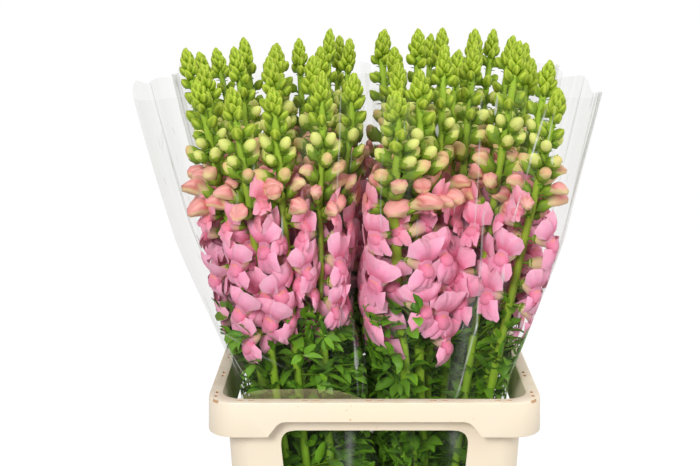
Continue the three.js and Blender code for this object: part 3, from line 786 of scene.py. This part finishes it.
def grow_stem(growth, plant):
    """An eight-sided tube along the plant's axis, a little wavy, closed at both ends."""
    z = np.concatenate([[plant.bottom, plant.bottom], np.linspace(90, plant.height - 3, 24), [plant.height - 3]])
    angle = circle(8)[:, None]
    radius = plant.radius(z) * (1 + 0.03 * np.sin(z / 7 + plant.turn))
    radius[[0, -1]] = 0
    ring = np.stack([np.cos(angle) * radius, np.sin(angle) * radius, 0 * angle * radius], -1)
    points = (plant.axis(z)[None] + ring)[None]
    share = smooth((z - 380) / 250)[None, None, :] + 0 * angle[None]
    tint = mixed(STEM_LOW, STEM_TOP, share)
    brown = smooth((z - plant.floret_top + 130) / 60) * (1 - smooth((z - plant.floret_top - 10) / 40))
    tint = mixed(tint, STEM_BROWN, 0.15 * brown[None, None, :] + 0 * angle[None])
    growth.grid(points, tint, 0.45)


def grow_head(growth, plant):
    """The head of tight buds: a blunt tuft at the tip, and larger ones in a spiral below it, leaning out."""
    count = int(10 + 0.08 * plant.buds)
    share = np.arange(count) / (count - 1)
    angle = plant.turn + np.arange(count) * GOLDEN_TURN
    vary = plant.random.uniform(0.92, 1.12, count)
    length = between(8.5, 13.0, share) * vary
    rise = np.radians(between(86, 58, np.minimum(share * 1.2, 1))) + plant.random.uniform(-0.08, 0.08, count)
    z = plant.height - 0.15 * plant.buds * share ** 1.25 - length * np.sin(rise)
    out, flat = plant.outwards(z, angle, rise)
    origin = plant.axis(z) + flat * between(0.2, 2.0, np.minimum(share * 3, 1))[:, None]
    tan = np.clip(plant.random.uniform(-0.6, 0.7, count), 0, 1)
    wrapped_buds(growth, origin, aimed(out), length, between(2.7, 4.3, share ** 0.6) * vary, tan)


def bud_places(plant):
    """Buds below the head, three to a level: how far down each is, as a share of the stretch above the first
    floret; its height; its angle."""
    levels = 7
    level = np.repeat(np.arange(levels), 3)
    place = 0.225 + 0.765 * (level + plant.random.uniform(-0.16, 0.16, 3 * levels)) / (levels - 1)
    return place, plant.height - place * plant.buds, plant.turn + (30 + np.arange(3 * levels)) * GOLDEN_TURN


def grow_buds(growth, plant):
    """Buds below the head: green, then yellow balls in their sepals, then blushed, then long and salmon."""
    place, z, angle = bud_places(plant)
    n, random = len(place), plant.random
    stations = [0.23, 0.40, 0.60, 0.72, 0.86, 1.0]

    def along(*values):
        """Values at the stations, read at each bud's place."""
        return np.interp(place, stations, values)

    vary = 1 + random.uniform(-1, 1, n) * between(0.09, 0.17, place)
    size = 0.90 + 0.10 * (plant.buds - SHORTEST_BUDS) / (TALLEST_BUDS - SHORTEST_BUDS)
    length = along(13.5, 15.5, 17.0, 22.5, 32.0, 37.0) * vary * size
    radius = along(4.9, 5.5, 5.7, 6.5, 7.5, 8.2) * vary * size
    rise = np.radians(along(50, 48, 46, 46, 45, 38) + random.uniform(-9, 9, n))
    ripe = np.interp(place, [0.45, 0.64, 0.76, 0.90], [0, 0.12, 0.5, 1.0])
    ripe = np.clip(ripe + random.uniform(-0.14, 0.14, n) * (place > 0.6), 0, 1)
    stalk = along(4.0, 5.0, 5.5, 5.5, 5.0, 5.0)
    low = z - (length * 0.55 + stalk) * np.sin(rise)
    out, flat = plant.outwards(low, angle, rise)
    origin = plant.axis(low) + flat * 1.5 + out * stalk[:, None]
    axes = aimed(out, random.uniform(-0.25, 0.25, n))
    green = place < 0.47
    ripening = ~green
    wrapped_buds(growth, origin[green], tuple(a[green] for a in axes), length[green], radius[green] * 1.02,
                 random.uniform(0, 0.4, green.sum()))
    calyxes(growth, origin, axes, along(0.62, 0.66, 0.80, 0.72, 0.50, 0.40) * length,
            along(0.93, 1.00, 1.15, 1.10, 0.90, 0.78) * radius, along(0.10, 0.20, 0.52, 0.56, 0.52, 0.52), stalk)
    closed_corollas(growth, (origin + out * 2.0)[ripening], tuple(a[ripening] for a in axes), length[ripening],
                    radius[ripening], ripe[ripening])
    grow_bracts(growth, plant, low - 2, angle, along(6, 8, 9, 10, 11, 12))


def grow_bracts(growth, plant, z, angle, length):
    """A small leaf under each bud."""
    n = len(z)
    rise = plant.random.uniform(0.15, 0.8, n)
    out, flat = plant.outwards(z, angle + plant.random.uniform(-0.2, 0.2, n), rise)
    origin = plant.axis(z) + flat * 2.0
    tone = plant.random.uniform(0.45, 1.0, n)
    leaves(growth, origin, aimed(out), length, length * 0.45, plant.random.uniform(0.1, 0.5, n), tone)


def floret_frames(plant):
    """The open florets, in a spiral down from the last bud: where each one's tube starts and its directions.

    The film turns those that face it to one side, to 0.70 radians plus a quarter of their own angle, by which the
    stem shows. Also each one's size, flare and freshness, its height and its angle."""
    random = np.random.default_rng(900 + plant.number)
    count = 14
    down = np.linspace(0, 1, count)
    z = plant.floret_top - 5 - (FLORET_ZONE + 6 + random.uniform(-12, 16)) * down
    angle = plant.turn + (56 + np.arange(count)) * GOLDEN_TURN + random.uniform(-0.25, 0.25, count)
    faced = np.angle(np.exp(1j * (angle - plant.side[1] * np.pi / 2)))
    angle = angle - faced + np.where(faced < 0, -1, 1) * np.maximum(np.abs(faced), 0.70 + 0.25 * np.abs(faced))
    size = between(0.85, 1.15, smooth(down * 2.5)) * random.uniform(0.93, 1.08, count)
    flare = between(0.30, 1.0, smooth(down * 3.0)) * random.uniform(0.75, 1.30, count)
    fresh = np.clip(1 - down * 3.0, 0, 1)
    rise = np.radians(between(22, 0, smooth(down * 1.6)) + random.uniform(-9, 9, count))
    out, flat = plant.outwards(z, angle, rise)
    origin = plant.axis(z) + flat * 2.0 + out * 5.0
    return origin, aimed(out, random.uniform(-0.35, 0.35, count)), size, flare, fresh, z, angle


def grow_leaves(growth, plant):
    """Leaves from inside the collar up to the florets: at each node one larger leaf and a rosette of small ones."""
    random = plant.random
    nodes = np.arange(LOWEST_LEAF, plant.floret_top - FLORET_ZONE + 10, 11.0)
    n = len(nodes)
    nodes = nodes + random.uniform(-3, 3, n)
    angle = plant.turn + np.arange(n) * GOLDEN_TURN
    low = smooth((480 - nodes) / 120)
    out, flat = plant.outwards(nodes, angle, random.uniform(0.1, 0.9, n))
    size = random.uniform(21, 28, n) + 7 * low
    leaves(growth, plant.axis(nodes) + flat * 2, aimed(out, random.uniform(-0.5, 0.5, n)), size,
           size * random.uniform(0.38, 0.48, n), random.uniform(0.1, 0.6, n), random.uniform(0.1, 0.8, n))
    rosette = np.repeat(np.arange(n), 3)
    m = len(rosette)
    z = nodes[rosette] + random.uniform(0, 6, m)
    spin = angle[rosette] + random.uniform(-1.7, 1.7, m)
    out, flat = plant.outwards(z, spin, random.uniform(0.1, 1.3, m))
    size = random.uniform(12, 19, m)
    start = plant.axis(z) + flat * random.uniform(2, 9, m)[:, None]
    leaves(growth, start, aimed(out, random.uniform(-0.8, 0.8, m)), size,
           size * random.uniform(0.42, 0.56, m), random.uniform(0, 0.6, m), random.uniform(0.1, 1.0, m))


def grow_shoots(growth, plant):
    """Side shoots: a thin stalk with six leaves along it. Two of three lean to the film that is nearer.

    The rest go round the stem, but low down they reach flatter and further, to the middle of the container."""
    random = plant.random
    n = 34 if abs(plant.tip[0]) < 60 else 24
    z = np.linspace(292, plant.floret_top - FLORET_ZONE - 24, n) + random.uniform(-6, 6, n)
    edge = 1 if abs(plant.tip[0]) > 115 else -1
    sideways = np.arctan2(plant.side[1] * 0.4, edge * plant.side[0])
    around = plant.turn + np.arange(n) * GOLDEN_TURN
    inwards = np.arctan2(-plant.side[1], 0.5 * edge * plant.side[0])
    inner = z < 500
    around = np.where(inner, inwards + random.uniform(-0.5, 0.5, n), around)
    leaning = np.arange(n) % 3 > 0
    angle = np.where(leaning, sideways + random.uniform(-0.7, 0.7, n), around)
    rise = random.uniform(0.25, 0.95, n) * np.where(inner & ~leaning, 0.6, 1)
    out, flat = plant.outwards(z, angle, rise)
    reach = random.uniform(32, 56, n) * np.where(inner & ~leaning, 1.6, 1)
    start = plant.axis(z) + flat * 2
    side = circle(4)[None, :, None]
    share = np.array([0, 0.1, 0.9, 1.0])[None, None, :]
    thick = np.array([0, 0.9, 0.6, 0])[None, None, :]
    local = joined(thick * np.cos(side), thick * np.sin(side), column(reach) * share)
    growth.grid(placed(local, start, aimed(out)), 0.5 * STEM_LOW, 0.4)
    each = 6
    which = np.repeat(np.arange(n), each)
    along = np.tile(np.linspace(0.3, 1.0, each), n)
    m = len(which)
    spin = random.uniform(0, 2 * np.pi, m)
    right, up, _ = aimed(out)
    away = right[which] * np.cos(spin)[:, None] + up[which] * np.sin(spin)[:, None]
    direction = unit(out[which] + away * random.uniform(0.5, 1.3, m)[:, None])
    size = random.uniform(18, 28, m) * (1.05 - 0.3 * along)
    origin = start[which] + out[which] * (reach[which] * along)[:, None]
    leaves(growth, origin, aimed(direction, random.uniform(-0.8, 0.8, m)), size,
           size * random.uniform(0.38, 0.50, m), random.uniform(0, 0.5, m), random.uniform(0, 0.9, m))


def green_part(plant, finish):
    """All that is green on a plant, with its unopened buds, as one mesh."""
    growth = Growth(plant.pressed)
    grow_stem(growth, plant)
    grow_head(growth, plant)
    grow_buds(growth, plant)
    grow_leaves(growth, plant)
    grow_shoots(growth, plant)
    origin, axes, _, _, _, z, angle = floret_frames(plant)
    n = len(z)
    calyxes(growth, origin, axes, np.full(n, 10.5), np.full(n, 4.6), np.full(n, 0.45), np.full(n, 5.0))
    grow_bracts(growth, plant, z - 4, angle, plant.random.uniform(7, 10, n))
    return growth.mesh(f"plant_{plant.number:02d}", finish)


def flower_part(plants, name, finish):
    """The open florets of a bunch's plants as one mesh."""
    growth = Growth(plants[0].pressed)
    for plant in plants:
        origin, axes, size, flare, fresh, _, _ = floret_frames(plant)
        origin = origin + axes[2] * 2.0
        vary = plant.random.uniform(-1, 1, (len(size), 3))
        tubes(growth, origin, axes, size, fresh)
        upper_lips(growth, origin, axes, size, flare, fresh, vary)
        palates(growth, origin, axes, size, fresh)
        lower_lips(growth, origin, axes, size, flare, fresh, vary)
    return growth.mesh(name, finish)


# ---------------------------------------------------------------- container

def outline(offset, z, radius, steps=10):
    """A rounded rectangle round the container at height z; offset is how far it lies outside the rim's outline."""
    quarter = np.arange(4)[:, None]
    angle = (quarter + np.linspace(0, 1, steps + 1)[None]) * np.pi / 2
    side_x = np.where((quarter == 0) | (quarter == 3), 1, -1)
    side_y = np.where(quarter < 2, 1, -1)
    x = side_x * (RIM_WIDTH / 2 + offset - radius) + radius * np.cos(angle)
    y = side_y * (RIM_DEPTH / 2 + offset - radius) + radius * np.sin(angle)
    return np.stack([x.ravel(), y.ravel(), np.full(x.size, float(z))], -1)


def rounded(profile, radius, closed=True):
    """The profile's corners, [offset, z, corner radius], each cut back and replaced by three points of an arc."""
    p = np.array(profile, float)
    before, after = np.roll(p, 1, axis=0), np.roll(p, -1, axis=0)
    to_before, to_after = before - p, after - p
    near, far = (np.linalg.norm(x[:, :2], axis=1, keepdims=True) for x in (to_before, to_after))
    cut = np.minimum(radius, 0.45 * np.minimum(near, far))
    first, last = p + to_before / near * cut, p + to_after / far * cut
    middle = (first + last) / 4 + p / 2
    made = np.stack([first, middle, last], 1).reshape(-1, 3)
    if not closed:
        made = np.vstack([p[:1], made[3:-3], p[-1:]])
    return made


def lofted(profile, closed):
    """Rings of the profile's outlines as one grid: round the container in u, along the profile in v."""
    rings = np.stack([outline(*row) for row in profile], 1)[None]
    if closed:
        return np.concatenate([rings, rings[:, :, :1]], axis=2)
    ends = [np.broadcast_to(rings[:, :, [k]].mean(1, keepdims=True), rings[:, :, :1].shape) for k in (0, -1)]
    return np.concatenate([ends[0], rings, ends[1]], axis=2)


def prism(points, low, high):
    """A closed prism: an outline (n, 2) in X and Z, from low to high in Y."""
    ring = np.array(points, float)
    rows = [np.stack([ring[:, 0], np.full(len(ring), y), ring[:, 1]], -1) for y in (low, high)]
    middles = [np.broadcast_to(r.mean(0), r.shape) for r in rows]
    return np.stack([middles[0], rows[0], rows[1], middles[1]], 1)[None]


def quarter_turn(points, quarter):
    """Points turned about Z by quarters of a turn."""
    c, s = round(math.cos(quarter * math.pi / 2)), round(math.sin(quarter * math.pi / 2))
    x, y = points[..., 0].copy(), points[..., 1].copy()
    return np.stack([c * x - s * y, s * x + c * y, points[..., 2]], -1)


def rounded_outline(corners, radii, steps=6):
    """A closed outline whose corners are replaced by arcs, each a quadratic curve with its own reach."""
    p = np.array(corners, float)
    before, after = np.roll(p, 1, axis=0), np.roll(p, -1, axis=0)
    reach = np.array(radii, float)[:, None]
    first = p + (before - p) / np.linalg.norm(before - p, axis=1, keepdims=True) * reach
    last = p + (after - p) / np.linalg.norm(after - p, axis=1, keepdims=True) * reach
    t = np.linspace(0, 1, steps + 1)[None, :, None]
    return ((1 - t) ** 2 * first[:, None] + 2 * t * (1 - t) * p[:, None] + t ** 2 * last[:, None]).reshape(-1, 2)


MOUTH = -23  # the bucket's inner wall at its mouth
COLLAR_PROFILE = [  # how far outside the rim's outline, height, corner radius
    (MOUTH - JOINT, 264, 19), (MOUTH - JOINT, 285.4, 19), (-4, 285.4, 24), (-4, 289, 24), (-28, 289, 20),
    (-16.5, 447, 22), (-11, 476, 22), (-3, 476, 24), (-3, 449, 24), (0, 449, 26), (0, 480, 26), (-12, 480, 21),
    (-19, 447, 20), (-30.5, 285.4, 18), (-25.9, 285.4, 17), (-25.9, 264, 17),
]
BUCKET_PROFILE = [  # the same, from the underside round the rim to the floor inside
    (-43, 0, 18), (-41, 3, 20), (-20.5, 258, 22), (-20.5, 282.5, 22), (-4.5, 282.5, 24), (-4.5, 263, 24),
    (-2, 263, 26), (-2, 285, 26), (-23, 285, 20), (-23, 258, 20), (-43.5, 4, 17),
]


def window(half):
    """The window's outline: a rounded trapezium, narrower at its foot."""
    head, foot = half - 64, half - 77
    return rounded_outline([(-foot, 322), (foot, 322), (head, 450), (-head, 450)], (13, 13, 15, 15))


def raised_lip(half):
    """The stretch between the corners where the rim's skirt is shallower."""
    wide, narrow = half - 54, half - 65
    return rounded_outline([(-wide, 440), (wide, 440), (wide, 449), (narrow, 463), (-narrow, 463), (-wide, 449)],
                           (0.5, 0.5, 3, 6, 6, 3))


def notches(half, reach):
    """Pairs of small pockets in the rim's top, as one box each."""
    pitch, apart = 57.0, 5.0
    count = int((half - 20) // pitch)
    middles = np.arange(-count, count + 1) * pitch
    middles = np.concatenate([middles - apart, middles + apart])
    corner = np.array([[-2.6, -1], [2.6, -1], [2.6, 1], [-2.6, 1]])
    boxes = []
    for x in middles:
        ring = np.stack([x + corner[:, 0], -reach + 7.2 + corner[:, 1] * 1.3], -1)
        rows = [np.column_stack([ring, np.full(4, z)]) for z in (RIM_TOP - 1.6, RIM_TOP + 1)]
        ends = [np.broadcast_to(r.mean(0), r.shape) for r in rows]
        boxes.append(np.stack([ends[0], rows[0], rows[1], ends[1]], 1))
    return np.stack(boxes)


def cut_away(piece, cutter):
    """Takes the cutter's bodies out of the piece for good."""
    step = piece.modifiers.new("cut", "BOOLEAN")
    step.operation, step.solver, step.object = "DIFFERENCE", "EXACT", cutter
    evaluated = piece.evaluated_get(bpy.context.evaluated_depsgraph_get())
    made = bpy.data.meshes.new_from_object(evaluated)
    piece.modifiers.clear()
    old, piece.data = piece.data, made
    bpy.data.meshes.remove(old)
    bpy.data.objects.remove(cutter)
    piece.data.polygons.foreach_set("use_smooth", np.ones(len(made.polygons), bool))
    piece.data.set_sharp_from_angle(angle=math.radians(32))


def collar(finish):
    """The collar: its profile carried round the container, less the windows, the skirt's lips and the pockets."""
    body = Growth()
    body.grid(lofted(rounded(COLLAR_PROFILE, 1.6), True), CREAM)
    piece = body.mesh("collar_with_windows", finish, 32)
    cuts = Growth()
    for quarter in range(4):
        half, reach = ((RIM_WIDTH / 2, RIM_DEPTH / 2), (RIM_DEPTH / 2, RIM_WIDTH / 2))[quarter % 2]
        cuts.grid(quarter_turn(prism(window(half), -reach + 5, -reach + 45), quarter), CREAM)
        cuts.grid(quarter_turn(prism(raised_lip(half), -reach - 4, -reach + 8), quarter), CREAM)
        cuts.grid(quarter_turn(notches(half, reach), quarter), CREAM)
    cut_away(piece, cuts.mesh("cuts", finish))
    return piece


def bucket(finish):
    """The bucket: its profile carried round the container, closed at the floor."""
    body = Growth()
    body.grid(lofted(rounded(BUCKET_PROFILE, 1.6, closed=False), False), CREAM)
    return body.mesh("bucket_body", finish, 32)


def band(side, name, finish):
    """A rubber band: a rounded square section carried round the bound stems' ellipse."""
    angle = circle(40)[:, None]
    section = np.linspace(0, 2 * np.pi, 9)[None, :]
    out = 1.5 + 0.9 * np.cos(section)
    points = joined(
        side[0] * BUNCH_X + (18.4 + out) * np.cos(angle),
        side[1] * BUNCH_Y + (14.2 + out) * np.sin(angle),
        117 + 3.0 * np.sign(np.sin(section)) * np.abs(np.sin(section)) ** 0.6,
    )
    growth = Growth()
    growth.grid(points[None], RUBBER_DARK)
    return growth.mesh(name, finish)


# ---------------------------------------------------------------- film

def rim_fold():
    """A fold of film along the front rim: a strip that stands 8 to 17 mm high, sin(pi t^0.8)^0.8 along its length."""
    t, v = np.linspace(0, 1, 30)[:, None], np.linspace(0, 1, 5)[None, :]
    lift = 9 * np.sin(np.pi * t ** 0.8) ** 0.8 + 1.0 * np.sin(11 * t)
    x = -122 + 120 * t + 5 * v * np.sin(5 * t)
    y = -176.5 - 3.5 * v + 1.2 * np.sin(17 * t) * v
    return joined(x, y, 471 + (8 + lift) * v)[None]


def film(side, seed, name, finish):
    """One sleeve of film: a rounded square at each height, its size read from the table, pushed in by pleats.

    A pleat is a ridge at its own angle that drifts as it rises. The tint's red says how sharp the fold is there, its
    green whether the film lies between two bunches, and its blue whether it is the fold on the rim, which only the
    front left sleeve has. The left sleeves flare 12 mm more at the top."""
    random = np.random.default_rng(seed)
    angle = circle(168)[:, None]
    rim = 4.0 * np.sin(3 * angle + seed) + 3.0 * np.sin(7 * angle + 2 * seed)
    foot, height = SLEEVE[0, 0], SLEEVE[-1, 0] - SLEEVE[0, 0]
    z = foot + (SLEEVE[-1, 0] - 8 - foot + rim) * np.linspace(0, 1, 28)[None, :]
    out_x, out_y, in_x, in_y = sleeve_at(z, 1, 2, 3, 4)
    around = (np.abs(np.cos(angle)) ** ROUNDNESS + np.abs(np.sin(angle)) ** ROUNDNESS) ** (-1 / ROUNDNESS)
    rise = (z - foot) / height
    inwards, crease = 1.0 + 0 * z, 0 * z
    for _ in range(26):
        at = random.uniform(0, 2 * np.pi)
        drift = random.uniform(-0.25, 0.25)
        width = random.uniform(0.02, 0.06)
        depth = random.uniform(1.0, 5.0)
        starts = random.uniform(-0.2, 0.7)
        apart = np.angle(np.exp(1j * (angle - at - drift * rise)))
        grown = smooth((rise - starts) / 0.35)
        inwards = inwards - np.exp(-(apart / width) ** 2) * grown * depth / 100
        edge = np.exp(-((np.abs(apart) - width) / (0.25 * width + 0.006)) ** 2)
        crease = np.maximum(crease, edge * grown * random.uniform(0.2, 1))
    facing = np.maximum(-side[0] * np.cos(angle), -side[1] * np.sin(angle)) * around
    between_bunches = smooth((facing - 0.80) / 0.15)
    inwards = between(inwards, 1.0, between_bunches)
    x = side[0] * (out_x + in_x) / 2 + ((out_x - in_x) / 2 - 0.4) * around * np.cos(angle) * inwards
    y = side[1] * (out_y + in_y) / 2 + ((out_y - in_y) / 2 - 0.4) * around * np.sin(angle) * inwards
    flare = 12 if side[0] < 0 else 0
    x = x + flare * np.sign(x) * smooth((z - 440) / 300) * smooth((np.abs(x) - 60) / 100)
    growth = Growth()
    growth.grid(swayed(np.stack([x, y, z], -1))[None], np.stack([crease, between_bunches + 0 * z, 0 * z], -1)[None])
    if side == (-1, -1):
        fold = rim_fold()
        # The strip's upper edge gets the highest crease value, a painted highlight along it.
        crease = 0.2 + 0.8 * np.broadcast_to(np.array([0, 0, 0, 0.2, 1.0]), fold.shape[:3])
        growth.grid(fold, np.stack([crease, 0 * crease, 1 + 0 * crease], -1), around=False)
    return growth.mesh(name, finish, 180)


# ---------------------------------------------------------------- the whole object

def stand(piece, slot, *nodes):
    """A piece that stands still, in place of those solids."""
    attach(piece, "root")
    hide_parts(*nodes)
    return piece


plastic, green, petal = cream_plastic(), greenery_finish(), petal_finish()
film_clear, rubber = film_finish(), rubber_finish()

stand(bucket(plastic), "container", "bucket")
stand(collar(plastic), "container", "collar")
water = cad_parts["water"]
water.data.materials.clear()
water.data.materials.append(water_finish())

for index, (place, side) in enumerate(BUNCHES.items()):
    numbers = range(1 + index * PLANTS_IN_BUNCH, 1 + (index + 1) * PLANTS_IN_BUNCH)
    plants = [Plant(k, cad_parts[f"snapdragon_{k:02d}"], side) for k in numbers]
    for plant in plants:
        stand(green_part(plant, green), "green", f"snapdragon_{plant.number:02d}")
    stand(flower_part(plants, f"open_florets_{place}", petal), "petal", f"florets_{place}")
    stand(band(side, f"rubber_band_{place}", rubber), "rubber", f"band_{place}")
    sleeve = stand(film(side, 11 + index, f"film_sleeve_{place}", film_clear), "film", f"sleeve_{place}")


# ---------------------------------------------------------------- studio

def studio_floor():
    """A wide white floor."""
    growth = Growth()
    edge = np.linspace(-400000, 400000, 9)
    x, y = np.meshgrid(edge, edge, indexing="ij")
    growth.grid(np.stack([x, y, 0 * x - 0.5], -1)[None], np.ones(3), around=False)
    f = Finish("white_floor")
    finish = f.done(f.surface(
        Base_Color=(0.1, 0.1, 0.1, 1), Roughness=0.9, Specular_IOR_Level=0.0,
        Emission_Color=(1, 1, 1, 1), Emission_Strength=0.965,
    ))
    floor = growth.mesh("studio_floor", finish)
    floor.visible_diffuse = False


def softbox(name, place, target, width, height, power):
    """A flat lamp in metres and watts, turned to its target."""
    lamp = bpy.data.lights.new(name, "AREA")
    lamp.shape, lamp.size, lamp.size_y, lamp.energy = "RECTANGLE", width, height, power
    made = bpy.data.objects.new(name, lamp)
    made.location = place
    made.rotation_euler = (Vector(target) - Vector(place)).to_track_quat("-Z", "Y").to_euler()
    bpy.context.scene.collection.objects.link(made)


def studio():
    """White surroundings and four soft lamps, the strongest low in front on the left."""
    studio_floor()
    world = bpy.data.worlds.new("white_studio")
    bpy.context.scene.world = world
    world.use_nodes = True
    world.node_tree.nodes["Background"].inputs[0].default_value = (1, 1, 1, 1)
    world.node_tree.nodes["Background"].inputs[1].default_value = 0.42
    softbox("key_box", (-0.8, -2.6, 1.75), (0, 0, 0.6), 0.9, 0.8, 57)
    softbox("fill_box", (1.9, -1.5, 1.3), (0, 0, 0.6), 0.8, 1.4, 16)
    softbox("top_box", (0.1, 0.3, 2.6), (0, 0, 0.6), 1.6, 1.6, 15)
    softbox("strip_box", (2.1, 0.9, 1.5), (0.1, 0, 0.65), 0.25, 1.8, 14)
    bpy.context.scene.view_settings.view_transform = "Standard"
    bpy.context.scene.cycles.transparent_max_bounces = 32


def camera():
    """A level 64.3 mm lens at the plants' height, its frame shifted down and a little to the left."""
    lens_data = bpy.data.cameras.new("camera")
    lens_data.lens, lens_data.sensor_width = 64.2857, 36.0
    lens_data.shift_x, lens_data.shift_y = -10 / 700, -254 / 700
    made = bpy.data.objects.new("camera", lens_data)
    made.location = (-0.013, -1.295, 0.853)
    made.rotation_euler = (math.radians(90), 0, 0)
    bpy.context.scene.collection.objects.link(made)
    bpy.context.scene.camera = made


studio()
camera()
bpy.context.view_layer.update()
